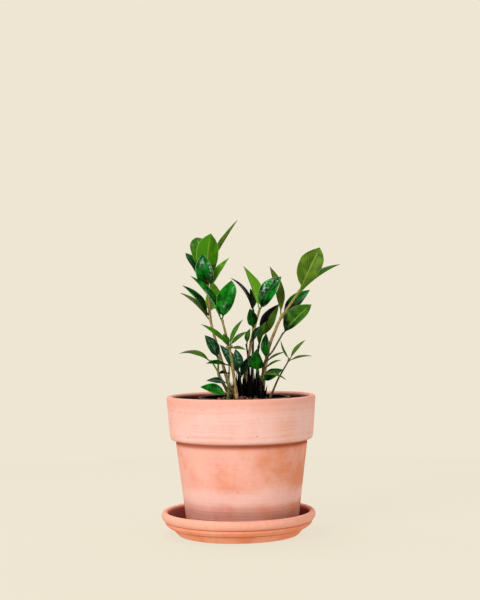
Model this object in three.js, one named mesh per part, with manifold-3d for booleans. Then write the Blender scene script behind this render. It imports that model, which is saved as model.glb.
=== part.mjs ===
// A small ZZ plant in a plastic nursery pot, which stands in a clay pot on a clay saucer.
// Millimetres, +Z up. The origin is the middle of the saucer's underside, and -Y is the front.
import * as THREE from "three";
import { mergeVertices } from "three/addons/utils/BufferGeometryUtils.js";
import Module from "manifold-3d";

const wasm = await Module();
wasm.setup();

// Driving dimensions
const turnedSides = 48; // facets round the clay
const potOffset = 4; // the clay pot stands this far right of the saucer's middle
const saucer = { height: 24, floor: 6, footRadius: 61, rimRadius: 77.5, rimWidth: 6.5 };
const clay = {
  height: 133, // from the saucer's floor to the rim
  rimRadius: 75,
  rimWall: 6,
  band: 43.7, // height of the thick band under the rim
  bandStep: 4, // how far the band's lower edge stands out from the body
  neckRadius: 66.4, // body, just under the band
  footRadius: 55.5,
  floor: 8,
  drainRadius: 7,
};
const nursery = { offset: 3, rimRadius: 46.5, lip: 5.5, wall: 1.4, footRadius: 34, top: 137.5, sides: 40 };
const nurseryDrain = { radius: 4.5, count: 5, ring: 20 };
const soilDome = 2.5; // the soil's middle stands this much over its edge
const soilDepthBelowLip = 6;
const stemSides = 6;
const stemDepth = 15; // how deep a stem goes into the soil
const clearance = 0.35; // between pieces that would touch all round
const leafRings = 8;
const leafThickness = 1.3;

const potFoot = saucer.floor;
const potRim = potFoot + clay.height;
const bandFoot = potRim - clay.band;
const clayFloor = potFoot + clay.floor;
const soilEdge = nursery.top - soilDepthBelowLip;

const finish = (color, roughness, metalness = 0) =>
  new THREE.MeshStandardMaterial({ color, roughness, metalness });
const finishes = {
  clay: finish(0xe9a58c, 0.9),
  saucerClay: finish(0xe8946c, 0.85),
  plastic: finish(0x17181a, 0.5),
  soil: finish(0x3a2219, 1),
  stem: finish(0x9a7a4e, 0.6),
  leaf: finish(0x2f6b25, 0.35),
};

const group = new THREE.Group();
const planted = new THREE.Group(); // everything that stands in the clay pot
planted.position.x = potOffset;
group.add(planted);

function addMesh(parent, name, geometry, material) {
  const mesh = new THREE.Mesh(geometry, material);
  mesh.name = name;
  parent.add(mesh);
  return mesh;
}

// Booleans

function toSolid(geometry) {
  const bare = geometry.clone();
  bare.deleteAttribute("normal");
  bare.deleteAttribute("uv");
  const merged = mergeVertices(bare, 1e-3);
  return new wasm.Manifold(
    new wasm.Mesh({
      numProp: 3,
      vertProperties: new Float32Array(merged.attributes.position.array),
      triVerts: new Uint32Array(merged.index.array),
    }),
  );
}

function toGeometry(solid) {
  const mesh = solid.getMesh();
  return new THREE.BufferGeometry()
    .setAttribute("position", new THREE.BufferAttribute(mesh.vertProperties, 3))
    .setIndex(new THREE.BufferAttribute(mesh.triVerts, 1));
}

// Turned pieces: a profile of [radius, height], up the outside and down the inside.

function turned(profile, sides = turnedSides) {
  const points = profile.map(([radius, height]) => new THREE.Vector2(radius, height));
  return new THREE.LatheGeometry(points, sides).rotateX(Math.PI / 2);
}

function makeSaucer() {
  const { height, floor, footRadius, rimRadius, rimWidth } = saucer;
  return turned([
    [0, 0],
    [footRadius - 1, 0],
    [footRadius, 1],
    [footRadius + 5.5, 7], // the plain foot slopes out
    [footRadius + 8, 7.8],
    [footRadius + 12.5, 11], // middle tier
    [footRadius + 13, 13.8],
    [rimRadius - 2.2, 15],
    [rimRadius - 0.4, 17.5], // rounded rim
    [rimRadius, 20.5],
    [rimRadius - 1, 23],
    [rimRadius - 3, height],
    [rimRadius - rimWidth + 1, height - 1],
    [rimRadius - rimWidth, height - 3],
    [footRadius + 2.5, floor + 2],
    [footRadius, floor],
    [0, floor],
  ]);
}

function makeClayPot() {
  const { rimRadius, rimWall, neckRadius, bandStep, footRadius, drainRadius } = clay;
  const inside = rimRadius - rimWall;
  return turned([
    [drainRadius, potFoot],
    [footRadius - 1.5, potFoot],
    [footRadius + 0.2, potFoot + 2],
    [neckRadius, bandFoot - 2],
    [neckRadius - 0.6, bandFoot - 0.4],
    [neckRadius + bandStep, bandFoot],
    [neckRadius + bandStep + 1.5, bandFoot + 2.5],
    [rimRadius, potRim - 3],
    [rimRadius - 0.8, potRim - 0.6],
    [rimRadius - 2.2, potRim],
    [inside + 1.2, potRim - 0.3],
    [inside, potRim - 2],
    [inside - 7.5, bandFoot - 1],
    [footRadius - 6, clayFloor + 2],
    [footRadius - 8, clayFloor],
    [drainRadius, clayFloor],
    [drainRadius, potFoot],
  ]);
}

// Inner radius of the nursery pot at a height: its wall is a straight taper.
const nurseryFloor = clayFloor + nursery.wall;
function nurseryInside(height) {
  const rise = (height - nurseryFloor) / (nursery.top - nurseryFloor);
  const low = nursery.footRadius - nursery.wall;
  const high = nursery.rimRadius - 1.5 - nursery.wall;
  return low + (high - low) * rise;
}

function makeNurseryPot() {
  const { rimRadius, lip, wall, footRadius, top, sides } = nursery;
  const lipFoot = top - lip;
  let pot = toSolid(
    turned(
      [
        [0, clayFloor],
        [footRadius - 1, clayFloor],
        [footRadius, clayFloor + 1],
        [nurseryInside(lipFoot) + wall, lipFoot],
        [rimRadius, lipFoot],
        [rimRadius, top - 0.5],
        [rimRadius - 0.5, top],
        [nurseryInside(top) + 0.4, top],
        [nurseryInside(top), top - 0.5],
        [nurseryInside(nurseryFloor), nurseryFloor],
        [0, nurseryFloor],
      ],
      sides,
    ),
  );
  for (let i = 0; i < nurseryDrain.count; i++) {
    const angle = (2 * Math.PI * i) / nurseryDrain.count;
    const hole = new THREE.CylinderGeometry(nurseryDrain.radius, nurseryDrain.radius, 6 * wall, 12);
    hole.rotateX(Math.PI / 2);
    hole.translate(nurseryDrain.ring * Math.cos(angle), nurseryDrain.ring * Math.sin(angle), clayFloor);
    pot = pot.subtract(toSolid(hole));
  }
  return toGeometry(pot);
}

// Grown pieces: a skin over rings of points, closed in a point at both ends.

function skin(rings, sides, pointAt) {
  const geometry = new THREE.SphereGeometry(1, sides, rings);
  const position = geometry.attributes.position;
  for (let ring = 0; ring <= rings; ring++) {
    for (let side = 0; side <= sides; side++) {
      const point = pointAt(ring, side % sides);
      position.setXYZ(ring * (sides + 1) + side, point.x, point.y, point.z);
    }
  }
  return geometry;
}

const front = new THREE.Vector3(0, -1, 0);
const back = new THREE.Vector3(0, 1, 0);

// The part of a direction that is square to an axis.
const squareTo = (direction, axis) =>
  direction.clone().addScaledVector(axis, -direction.dot(axis)).normalize();

// A stem: upright where it is in the soil, then along its route. Radii are at the soil and at the tip.
function stemCurve(route) {
  const [x, y] = route[0];
  const foot = soilEdge - stemDepth + soilDome;
  const points = [
    new THREE.Vector3(x, y, foot),
    new THREE.Vector3(x, y, foot + stemDepth / 2),
    new THREE.Vector3(x, y, foot + stemDepth),
    ...route.slice(1).map((point) => new THREE.Vector3(...point)),
  ];
  return new THREE.CatmullRomCurve3(points, false, "catmullrom", 0.4);
}

function makeStem(curve, [thick, thin]) {
  const rings = 2 + 2 * (curve.points.length - 1);
  return skin(rings, stemSides, (ring, side) => {
    const along = THREE.MathUtils.clamp((ring - 1) / (rings - 2), 0, 1);
    const point = curve.getPointAt(along);
    if (ring === 0 || ring === rings) return point; // the middle of a flat end
    const tangent = curve.getTangentAt(along);
    const up = squareTo(back, tangent);
    const right = tangent.clone().cross(up);
    const radius = THREE.MathUtils.lerp(thick, thin, along);
    const angle = (2 * Math.PI * side) / stemSides;
    return point
      .addScaledVector(right, radius * Math.cos(angle))
      .addScaledVector(up, radius * Math.sin(angle));
  });
}

// The point of a stem's curve at a height: every stem climbs all the way.
function pointAtHeight(curve, height) {
  let low = 0;
  let high = 1;
  for (let i = 0; i < 24; i++) {
    const middle = (low + high) / 2;
    if (curve.getPointAt(middle).z < height) low = middle;
    else high = middle;
  }
  return curve.getPointAt(low);
}

// A leaf: a keeled blade, arched along its length, whose edges stand up from the midrib.
// start is how far its foot stands off the middle of the stem.
function makeLeaf(curve, leaf, start) {
  const { foot, tip, width, turn, fold = 20, arch = 0.06 } = leaf;
  const node = pointAtHeight(curve, foot);
  const reach = new THREE.Vector3(...tip);
  const chord = reach.clone().normalize();
  const base = node.clone().addScaledVector(chord, start);
  const length = reach.length() - start;
  const upper = squareTo(front, chord).applyAxisAngle(chord, THREE.MathUtils.degToRad(turn));
  const side = chord.clone().cross(upper);
  const tilt = THREE.MathUtils.degToRad(fold);
  return skin(leafRings, 4, (ring, corner) => {
    const along = ring / leafRings;
    const rise = 4 * arch * length * along * (1 - along);
    const point = base.clone().addScaledVector(chord, length * along).addScaledVector(upper, rise);
    if (ring === 0 || ring === leafRings) return point;
    const slope = 4 * arch * (1 - 2 * along);
    const tangent = chord.clone().addScaledVector(upper, slope).normalize();
    const normal = squareTo(upper, tangent);
    const fullness = Math.sin(Math.PI * along ** 0.8) ** 0.9;
    const half = (width / 2) * fullness;
    if (corner === 1) return point.addScaledVector(normal, leafThickness / 2);
    if (corner === 3) return point.addScaledVector(normal, -leafThickness / 2);
    const hand = corner === 0 ? 1 : -1;
    return point
      .addScaledVector(side, hand * half * Math.cos(tilt))
      .addScaledVector(normal, half * Math.sin(tilt));
  });
}

// Each shoot: where its stem leaves the soil and its route from there, its radii, and its leaves.
// A leaf row holds the height of its foot on the stem, the way from there to its tip, its width,
// and how far its upper face is turned from facing the front, in degrees about the way to its tip.
const shoots = {
  tall_left: {
    route: [
      [-4, -2], [-5, -2, 138], [-11, -2, 147], [-25, 1, 195], [-30, 4, 217], [-32, 9, 249], [-30, 14, 273],
    ],
    radii: [1.8, 1],
    leaves: [
      { foot: 251, tip: [4, -13, 51], width: 25, turn: 168, arch: -0.03 },
      { foot: 249, tip: [-4, -27, 32], width: 19, turn: -12 },
      { foot: 256, tip: [-12, 29, 45], width: 21, turn: 14 },
      { foot: 242, tip: [-23, 12, 42], width: 16, turn: 52 },
      { foot: 271, tip: [29, 7, 46], width: 18, turn: -76, arch: 0.01 },
      { foot: 243, tip: [22, -20, 34], width: 12, turn: -55 },
      { foot: 221, tip: [4, 14, 32], width: 17, turn: 160 },
      { foot: 218, tip: [-27, -14, 32], width: 17, turn: 64 },
      { foot: 214, tip: [-31, 12, 29], width: 16, turn: 72 },
    ],
  },
  inner_left: {
    route: [[-2, 6], [-5, 3, 147], [-11, -5, 183], [-14, -8, 199], [-18, -10, 216]],
    radii: [1.6, 1.1],
    leaves: [
      { foot: 213, tip: [-31, -12, 46], width: 19, turn: 68, fold: 28 },
      { foot: 215, tip: [10, -13, 39], width: 20, turn: 12 },
    ],
  },
  low_left: {
    route: [[-10, -8], [-16, -9, 148], [-22, -10, 159], [-22, -10, 178]],
    radii: [1.3, 0.9],
    leaves: [
      { foot: 177, tip: [-13, -9, 23], width: 13, turn: 34 },
      { foot: 175, tip: [-10, 2, 23], width: 12, turn: 32 },
    ],
  },
  outer_left: {
    route: [[-8, 5], [-17, 7, 150], [-24, 9, 164], [-30, 10, 174]],
    radii: [1, 0.8],
    leaves: [
      { foot: 173, tip: [-33, 9, 8], width: 12, turn: 66, arch: 0.12 },
    ],
  },
  front_left: {
    route: [[-13, -16], [-13, -16, 145], [-12, -17, 153], [-11, -18, 171]],
    radii: [1.1, 0.7],
    leaves: [
      { foot: 170, tip: [-23, -8, 2], width: 9, turn: 62 },
      { foot: 162, tip: [-10, -13, 0], width: 6, turn: 58 },
      { foot: 152, tip: [-22, -8, 3], width: 9, turn: 50 },
      { foot: 141, tip: [-27, -11, 8], width: 14, turn: 44 },
    ],
  },
  centre_front: {
    route: [[1, -10], [0, -10, 148], [-2, -9, 163]],
    radii: [1.5, 1],
    leaves: [
      { foot: 159, tip: [-19, 2, 31], width: 12, turn: 28 },
      { foot: 162, tip: [-3, -7, 24], width: 12, turn: 20 },
      { foot: 155, tip: [12, 2, 24], width: 9, turn: -22 },
    ],
  },
  centre_short: {
    route: [[9, -12], [8, -13, 155], [8, -14, 173], [6, -14, 191]],
    radii: [1.2, 0.8],
    leaves: [{ foot: 189, tip: [4, -1, 17], width: 7, turn: -34 }],
  },
  centre_tall: {
    route: [[3, -4], [6, -5, 165], [11, -6, 192], [14, -6, 205], [20, -6, 225]],
    radii: [1.8, 1.2],
    leaves: [
      { foot: 225, tip: [-16, 2, 44], width: 20, turn: 120 },
      { foot: 224, tip: [22, -18, 33], width: 19, turn: -24 },
      { foot: 205, tip: [-4, -13, 21], width: 12, turn: 16 },
      { foot: 191, tip: [11, -12, 18], width: 9, turn: -46 },
    ],
  },
  centre_back: {
    route: [[16, 3], [17, 5, 159], [18, 7, 183], [21, 8, 196]],
    radii: [1.5, 1],
    leaves: [
      { foot: 195, tip: [19, -5, 35], width: 17, turn: -24 },
      { foot: 186, tip: [8, -15, 27], width: 10, turn: -50 },
    ],
  },
  back_tall: {
    route: [[11, 14], [12, 17, 159], [13, 21, 189], [14, 25, 225]],
    radii: [1.6, 1],
    leaves: [
      { foot: 225, tip: [-23, 4, 33], width: 12, turn: 74, arch: 0.1 },
      { foot: 223, tip: [-3, 12, 24], width: 12, turn: 136 },
    ],
  },
  tall_right: {
    route: [
      [21, 4], [24, 1, 161], [29, -5, 187], [35, -9, 203], [41, -12, 216], [53, -18, 233], [61, -22, 245],
    ],
    radii: [2, 1.2],
    leaves: [
      { foot: 243, tip: [20, -9, 42], width: 25, turn: -12 },
      { foot: 239, tip: [44, 8, 30], width: 18, turn: -72, fold: 32 },
      { foot: 216, tip: [30, 11, 28], width: 16, turn: -34 },
      { foot: 217, tip: [-11, 8, 51], width: 16, turn: 124 },
    ],
  },
  thin_right: {
    route: [[18, -6], [24, -8, 171], [31, -9, 181], [36, -10, 189], [43, -11, 201]],
    radii: [1.2, 0.9],
    leaves: [
      { foot: 200, tip: [29, -8, 29], width: 19, turn: -24 },
      { foot: 174, tip: [1, 3, 27], width: 10, turn: -20 },
      { foot: 172, tip: [22, 3, 10], width: 6, turn: -76 },
      { foot: 165, tip: [18, -6, 9], width: 6, turn: -76 },
    ],
  },
  low_right: {
    route: [[21, -14], [21, -15, 147], [19, -18, 156], [16, -21, 163]],
    radii: [1.4, 0.9],
    leaves: [
      { foot: 162, tip: [0, -5, 24], width: 17, turn: -12 },
      { foot: 159, tip: [27, -12, -4], width: 7, turn: -70, arch: 0.12 },
      { foot: 153, tip: [22, -5, 12], width: 13, turn: -36 },
    ],
  },
};

// Two young sprouts, each small enough to be one piece with its leaves.
const sprouts = {
  sprout_left: {
    route: [[-4, -15], [-5, -15, 144], [-7, -16, 162], [-9, -17, 176], [-11, -17, 190]],
    radii: [1.5, 1.1],
    leaves: [
      { foot: 189, tip: [14, -3, 26], width: 8, turn: -52 },
      { foot: 189, tip: [18, -11, 14], width: 7, turn: -50 },
      { foot: 189, tip: [-28, -3, 22], width: 9, turn: 56 },
      { foot: 188, tip: [-12, -12, 12], width: 7, turn: 48 },
      { foot: 187, tip: [16, -12, -2], width: 6, turn: -56 },
      { foot: 188, tip: [-6, 9, 13], width: 7, turn: 20 },
    ],
  },
  sprout_right: {
    route: [[29, -14], [31, -15, 141], [37, -18, 155], [45, -22, 169], [49, -24, 176]],
    radii: [0.9, 0.7],
    leaves: [
      { foot: 175, tip: [-8, 2, 19], width: 5, turn: 60, arch: -0.12 },
      { foot: 175, tip: [16, -4, 19], width: 6, turn: -52 },
      { foot: 174, tip: [23, -2, 4], width: 5, turn: -66 },
    ],
  },
};

function makeSoil(curves) {
  const edge = (height) => nurseryInside(height) - clearance;
  let soil = toSolid(
    turned(
      [
        [0, nurseryFloor],
        [edge(nurseryFloor), nurseryFloor],
        [edge(soilEdge), soilEdge],
        [edge(soilEdge) * 0.6, soilEdge + soilDome * 0.7],
        [0, soilEdge + soilDome],
      ],
      nursery.sides,
    ).translate(nursery.offset, 0, 0),
  );
  for (const [curve, [thick]] of curves) {
    const radius = thick + 2 * clearance;
    const socket = new THREE.CylinderGeometry(radius, radius, 2 * stemDepth, 8).rotateX(Math.PI / 2);
    const foot = curve.points[0];
    socket.translate(foot.x, foot.y, foot.z - clearance + stemDepth);
    soil = soil.subtract(toSolid(socket));
  }
  return toGeometry(soil);
}

addMesh(group, "saucer", makeSaucer(), finishes.saucerClay);
addMesh(planted, "terracotta_pot", makeClayPot(), finishes.clay);
addMesh(planted, "nursery_pot", makeNurseryPot().translate(nursery.offset, 0, 0), finishes.plastic);

const curves = [];
for (const [name, shoot] of Object.entries(shoots)) {
  const curve = stemCurve(shoot.route);
  curves.push([curve, shoot.radii]);
  addMesh(planted, `stem_${name}`, makeStem(curve, shoot.radii), finishes.stem);
  shoot.leaves.forEach((leaf, i) => {
    const start = shoot.radii[0] + leafThickness;
    addMesh(planted, `leaf_${name}_${i + 1}`, makeLeaf(curve, leaf, start), finishes.leaf);
  });
}
for (const [name, sprout] of Object.entries(sprouts)) {
  const curve = stemCurve(sprout.route);
  curves.push([curve, sprout.radii]);
  let solid = toSolid(makeStem(curve, sprout.radii));
  for (const leaf of sprout.leaves) solid = solid.add(toSolid(makeLeaf(curve, leaf, 0)));
  addMesh(planted, name, toGeometry(solid), finishes.leaf);
}
addMesh(planted, "potting_soil", makeSoil(curves), finishes.soil);

export default group;
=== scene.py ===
import math
import random
import bmesh
import bpy
import numpy as np
from mathutils import Matrix, Vector, noise


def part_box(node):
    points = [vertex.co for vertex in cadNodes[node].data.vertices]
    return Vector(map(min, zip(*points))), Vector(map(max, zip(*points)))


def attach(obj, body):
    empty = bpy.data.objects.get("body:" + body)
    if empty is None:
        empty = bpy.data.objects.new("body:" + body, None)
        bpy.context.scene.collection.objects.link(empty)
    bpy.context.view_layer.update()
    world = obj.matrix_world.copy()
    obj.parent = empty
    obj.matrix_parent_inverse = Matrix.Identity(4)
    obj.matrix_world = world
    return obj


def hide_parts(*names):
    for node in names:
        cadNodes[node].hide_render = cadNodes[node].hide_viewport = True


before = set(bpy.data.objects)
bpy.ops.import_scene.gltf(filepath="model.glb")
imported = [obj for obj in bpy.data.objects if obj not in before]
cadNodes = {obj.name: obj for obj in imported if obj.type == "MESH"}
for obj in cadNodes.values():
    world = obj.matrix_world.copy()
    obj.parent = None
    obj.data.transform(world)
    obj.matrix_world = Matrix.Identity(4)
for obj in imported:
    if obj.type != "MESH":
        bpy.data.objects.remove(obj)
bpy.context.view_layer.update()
mm = 0.001
print("frame loaded:", len(cadNodes), "nodes")


# small helpers for meshes

def smoothStep(low, high, value):
    share = np.clip((value - low) / (high - low), 0, 1)
    return share * share * (3 - 2 * share)


def unit(vector):
    return vector / np.linalg.norm(vector)


def addPiece(name, vertices, faces, material, fields=None):
    mesh = bpy.data.meshes.new(name)
    mesh.from_pydata([tuple(v) for v in vertices], [], faces)
    for field, values in (fields or {}).items():
        layer = mesh.attributes.new(field, "FLOAT", "POINT")
        layer.data.foreach_set("value", np.asarray(values, np.float32))
    shape = bmesh.new()
    shape.from_mesh(mesh)
    bmesh.ops.recalc_face_normals(shape, faces=shape.faces)
    shape.to_mesh(mesh)
    shape.free()
    mesh.polygons.foreach_set("use_smooth", [True] * len(mesh.polygons))
    mesh.materials.append(material)
    piece = bpy.data.objects.new(name, mesh)
    bpy.context.scene.collection.objects.link(piece)
    return piece


# A skin over rings of points, closed at both ends by a point.
def loft(rings):
    count, sides = rings.shape[:2]
    vertices = [tuple(p) for p in rings.reshape(-1, 3)]
    faces = []
    for i in range(count - 1):
        for j in range(sides):
            k = (j + 1) % sides
            faces.append((i * sides + j, i * sides + k, (i + 1) * sides + k, (i + 1) * sides + j))
    for row in (0, count - 1):
        middle = len(vertices)
        vertices.append(tuple(rings[row].mean(axis=0)))
        for j in range(sides):
            faces.append((row * sides + j, row * sides + (j + 1) % sides, middle))
    return vertices, faces


# Points at even steps along a soft curve through the given points.
def softLine(points, count):
    points = np.asarray(points, float)
    padded = np.vstack([2 * points[0] - points[1], points, 2 * points[-1] - points[-2]])
    fine = []
    for i in range(1, len(padded) - 2):
        a, b, c, d = padded[i - 1:i + 3]
        for t in np.linspace(0, 1, 12, endpoint=False):
            fine.append(0.5 * (2 * b + (c - a) * t + (2 * a - 5 * b + 4 * c - d) * t ** 2
                               + (3 * b - a - 3 * c + d) * t ** 3))
    fine.append(points[-1])
    fine = np.array(fine)
    run = np.concatenate([[0], np.cumsum(np.linalg.norm(np.diff(fine, axis=0), axis=1))])
    want = np.linspace(0, run[-1], count)
    return np.column_stack([np.interp(want, run, fine[:, axis]) for axis in range(3)]), want


# reading the plant's lines back from the CAD solids

# A CAD mesh with its shared corners joined, and each corner's neighbours.
def weldedMesh(node):
    data = cadNodes[node].data
    corners = np.empty(len(data.vertices) * 3)
    data.vertices.foreach_get("co", corners)
    points, index = np.unique(np.round(corners.reshape(-1, 3), 6), axis=0, return_inverse=True)
    index = index.reshape(-1)
    neighbours = [set() for _ in points]
    for polygon in data.polygons:
        loop = [int(index[v]) for v in polygon.vertices]
        for a, b in zip(loop, loop[1:] + loop[:1]):
            if a != b:
                neighbours[a].add(b)
                neighbours[b].add(a)
    return points, neighbours


def ringsFrom(start, neighbours):
    seen = {start}
    rings = [[start]]
    while True:
        following = sorted({n for v in rings[-1] for n in neighbours[v]} - seen)
        if not following:
            return rings
        seen.update(following)
        rings.append(following)


# A stem's middle line and its radius at each step.
def readStem(node):
    points, neighbours = weldedMesh(node)
    foot = [i for i, p in enumerate(points) if p[2] < points[:, 2].min() + 0.01 * mm]
    middle = points[foot].mean(axis=0)
    start = min(foot, key=lambda i: np.linalg.norm(points[i] - middle))
    rings = ringsFrom(start, neighbours)[1:-1]
    line = np.array([points[ring].mean(axis=0) for ring in rings])
    radii = np.array([np.linalg.norm(points[ring] - middle, axis=1).mean()
                      for ring, middle in zip(rings, line)])
    return line, radii


# A leaf's foot, tip, upper side, width, fold and arch.
def readLeaf(node, stemLine):
    points, neighbours = weldedMesh(node)
    spread = np.linalg.norm(points[:, None] - points[None], axis=2)
    ends = np.unravel_index(spread.argmax(), spread.shape)
    nearness = [np.linalg.norm(stemLine - points[i], axis=1).min() for i in ends]
    foot, tip = (ends[0], ends[1]) if nearness[0] < nearness[1] else (ends[1], ends[0])
    chord = points[tip] - points[foot]
    length = np.linalg.norm(chord)
    along = chord / length
    across = np.zeros(3)
    lift = np.zeros(3)
    widest = 0
    rise = []
    for ring in ringsFrom(int(foot), neighbours)[1:-1]:
        four = points[ring]
        gaps = np.linalg.norm(four[:, None] - four[None], axis=2)
        a, b = np.unravel_index(gaps.argmax(), gaps.shape)
        rest = [i for i in range(len(four)) if i not in (a, b)]
        edge = four[b] - four[a]
        across += edge if edge @ across >= 0 else -edge
        middle = four[rest].mean(axis=0)
        lift += (four[a] + four[b]) / 2 - middle
        rise.append(middle - points[foot])
        if np.linalg.norm(edge) > widest:
            widest = np.linalg.norm(edge)
            keel = np.linalg.norm((four[a] + four[b]) / 2 - middle)
    upper = unit(lift - along * (lift @ along))
    side = unit(np.cross(along, upper))
    upper = np.cross(side, along)
    tilt = math.atan2(keel, widest / 2)
    arch = sorted((r @ upper for r in rise), key=abs)[-1] / length
    return dict(foot=points[foot], tip=points[tip], upper=upper,
                width=widest / math.cos(tilt), fold=tilt, arch=arch)


# the shape of one leaf

leafShape = {
    "steps": 44,            # rings along the blade
    "loop": 40,             # points round each ring
    "stalkSteps": 7,
    "stalkRadius": 0.75 * mm,
    "thickness": 0.75 * mm,
    "edgeThickness": 0.3 * mm,
    "leastHalf": 0.12 * mm,  # a blade never gets narrower than this, even at its tip
    "ribWidth": 0.55 * mm,
    "keel": 0.455 * mm,     # how far the midrib stands out underneath
    "groove": 0.22 * mm,    # and how deep it lies on top
    "crown": 0.1,           # how far each half swells between midrib and margin
    "ripple": 0.025,
}
usualOutline = {"peak": 0.47, "full": 0.8, "sharp": 1.7, "halves": 1.0}


# How wide one half of a blade is at a share of its length: it swells to its peak, then closes in an angle.
def outlineAt(u, peak, full, sharp, halves):
    if u < peak:
        shoulder = 0.7 + 0.3 * float(smoothStep(0, 0.3, u))
        return halves * math.sin(math.pi / 2 * u / peak) ** full * shoulder
    return halves * (1 - ((u - peak) / (1 - peak)) ** sharp)


# How far sideways and how high each point of a ring lies, for the blade at a share of its length.
# across runs from -1 to 1 between the margins, and below marks the points of the under side.
def bladeSection(u, leaf, look, outlines, waves, across, below):
    shape = leafShape
    outline = np.where(across > 0, outlineAt(u, **outlines[0]), outlineAt(u, **outlines[1]))
    half = np.maximum(leaf["width"] / 2 * outline, shape["leastHalf"])
    out = np.abs(across)
    flat = half * across * math.cos(leaf["fold"])
    height = half * math.sin(leaf["fold"]) * (np.sqrt(out ** 2 + 0.02) - 0.14)
    height += half * shape["crown"] * np.sin(math.pi * np.minimum(out, 1)) * (1 - 0.3 * out)
    hand = np.where(across > 0, 1.0, -1.0)
    wave = np.sin(9 * u + waves[0] + hand * waves[1]) + 0.6 * np.sin(17 * u + waves[2] + hand * waves[3])
    height += half * shape["ripple"] * look.get("ripple", 1) * wave * out ** 2
    swell = 0.35 + 0.65 * math.sin(math.pi * min(u * 1.1 + 0.05, 1)) if u < 1 else 0.35
    edge = shape["edgeThickness"]
    body = (edge + (shape["thickness"] - edge) * (1 - out ** 2)) * swell
    body = body * np.sqrt(np.clip(1 - out ** 6, 0, 1)) / 2
    rib = np.exp(-((across * half) / shape["ribWidth"]) ** 2) * (1 - 0.75 * u)
    height = np.where(below, height - body - shape["keel"] * rib, height + body - shape["groove"] * rib)
    return flat, height


# The rings of a leaf from inside its stem to its tip, and what its finish needs to know at each point.
def bladeRings(leaf, root, look, seed):
    rng = random.Random(seed)
    shape = leafShape
    foot, tip, upper = leaf["foot"], leaf["tip"], leaf["upper"]
    arch = look.get("arch", leaf["arch"])
    chord = tip - foot
    length = np.linalg.norm(chord)
    side = np.cross(chord / length, upper)
    outlines = [{key: look[key][hand] if isinstance(look.get(key), tuple) else look.get(key, usual)
                 for key, usual in usualOutline.items()} for hand in (0, 1)]
    sway = look.get("sway", rng.uniform(-0.02, 0.02))
    twist = math.radians(look.get("twist", rng.uniform(-10, 10)))
    waves = [rng.uniform(0, 6.28) for _ in range(4)]
    angles = np.linspace(0, 2 * math.pi, shape["loop"], endpoint=False)
    across = np.sign(np.cos(angles)) * np.abs(np.cos(angles)) ** 1.25
    below = np.sin(angles) < -1e-9
    stalkRadius = shape["stalkRadius"] * look.get("stalk", 1)
    shadeFoot, shadeTip, shadeSide = look.get("shade", (0, 0, 0))
    rings = []
    fields = {"along": [], "across": [], "under": [], "shade": [], "glint": []}

    def middleAt(u):
        return foot + chord * u + (upper * arch + side * sway) * (4 * length * u * (1 - u))

    def frameAt(u):
        tangent = unit(middleAt(min(u + 0.01, 1)) - middleAt(max(u - 0.01, 0)))
        normal = unit(upper - tangent * (upper @ tangent))
        sideways = np.cross(tangent, normal)
        turn = twist * (u - 0.3)
        return (math.cos(turn) * normal + math.sin(turn) * sideways,
                math.cos(turn) * sideways - math.sin(turn) * normal)

    def roundRing(middle, radius, normal, sideways):
        return np.array([middle + radius * (math.cos(a) * sideways + math.sin(a) * normal) for a in angles])

    def addFields(*values):
        for key, value in zip(fields, values):
            fields[key] += list(np.broadcast_to(value, len(angles)))

    # the little stalk, from inside the stem to the foot of the blade
    normal, sideways = frameAt(0)
    for t in np.arange(shape["stalkSteps"]) / shape["stalkSteps"]:
        rings.append(roundRing(root * (1 - t) + foot * t, stalkRadius * (1.35 - 0.45 * t), normal, sideways))
        addFields(0, across * 0.15, 0.5, shadeFoot * 0.5, 0)

    for u in np.linspace(0, 1, shape["steps"]):
        normal, sideways = frameAt(u)
        flat, height = bladeSection(u, leaf, look, outlines, waves, across, below)
        blade = middleAt(u) + flat[:, None] * sideways + height[:, None] * normal
        share = float(smoothStep(0, 0.13, u))
        stalk = roundRing(middleAt(u), stalkRadius * 0.9, normal, sideways)
        rings.append(stalk * (1 - share) + blade * share)
        # painted shade: the foot, the tip and one side of the blade are marked darker
        shade = shadeFoot * smoothStep(0.6, 0.15, u) + shadeTip * smoothStep(0.4, 0.9, u)
        shade = shade + abs(shadeSide) * smoothStep(-0.2, 0.5, across * np.sign(shadeSide))
        # painted highlight: pale patches where a glossy blade would catch the light, on its upper side only
        glint = sum(np.exp(-((u - u0) / uWide) ** 2 - ((across - v0) / vWide) ** 2)
                  for u0, v0, uWide, vWide in look.get("glints", []))
        addFields(u, across, np.where(below, 1.0, 0.0), shade, glint * np.where(below, 0.0, 1.0))
    return np.array(rings), fields


def nearestOn(line, point):
    return line[np.linalg.norm(line - point, axis=1).argmin()]


def atHeight(line, height):
    return line[np.abs(line[:, 2] - height).argmin()]


# every piece belongs to the plant's only body
def settle(piece, node):
    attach(piece, "root")
    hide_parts(node)


# materials: small node helpers and the effects that several finishes share

def tint(code):
    parts = [int(code[i:i + 2], 16) / 255 for i in (1, 3, 5)]
    return [c / 12.92 if c <= 0.04045 else ((c + 0.055) / 1.055) ** 2.4 for c in parts] + [1]


# An input is another node's output, a colour code or a plain value.
def addNode(tree, kind, inputs=None, **settings):
    node = tree.nodes.new(kind)
    for key, value in settings.items():
        setattr(node, key, value)
    for key, value in (inputs or {}).items():
        if isinstance(value, bpy.types.NodeSocket):
            tree.links.new(value, node.inputs[key])
        else:
            node.inputs[key].default_value = tint(value) if isinstance(value, str) else value
    return node


def calc(tree, operation, a, b=0.0, c=0.0, clamp=False):
    inputs = {0: a, 1: b, 2: c}
    return addNode(tree, "ShaderNodeMath", inputs, operation=operation, use_clamp=clamp).outputs[0]


def blend(tree, share, a, b, mode="MIX"):
    inputs = {"Factor": share, 6: a, 7: b}
    return addNode(tree, "ShaderNodeMix", inputs, data_type="RGBA", blend_type=mode).outputs[2]


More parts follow.
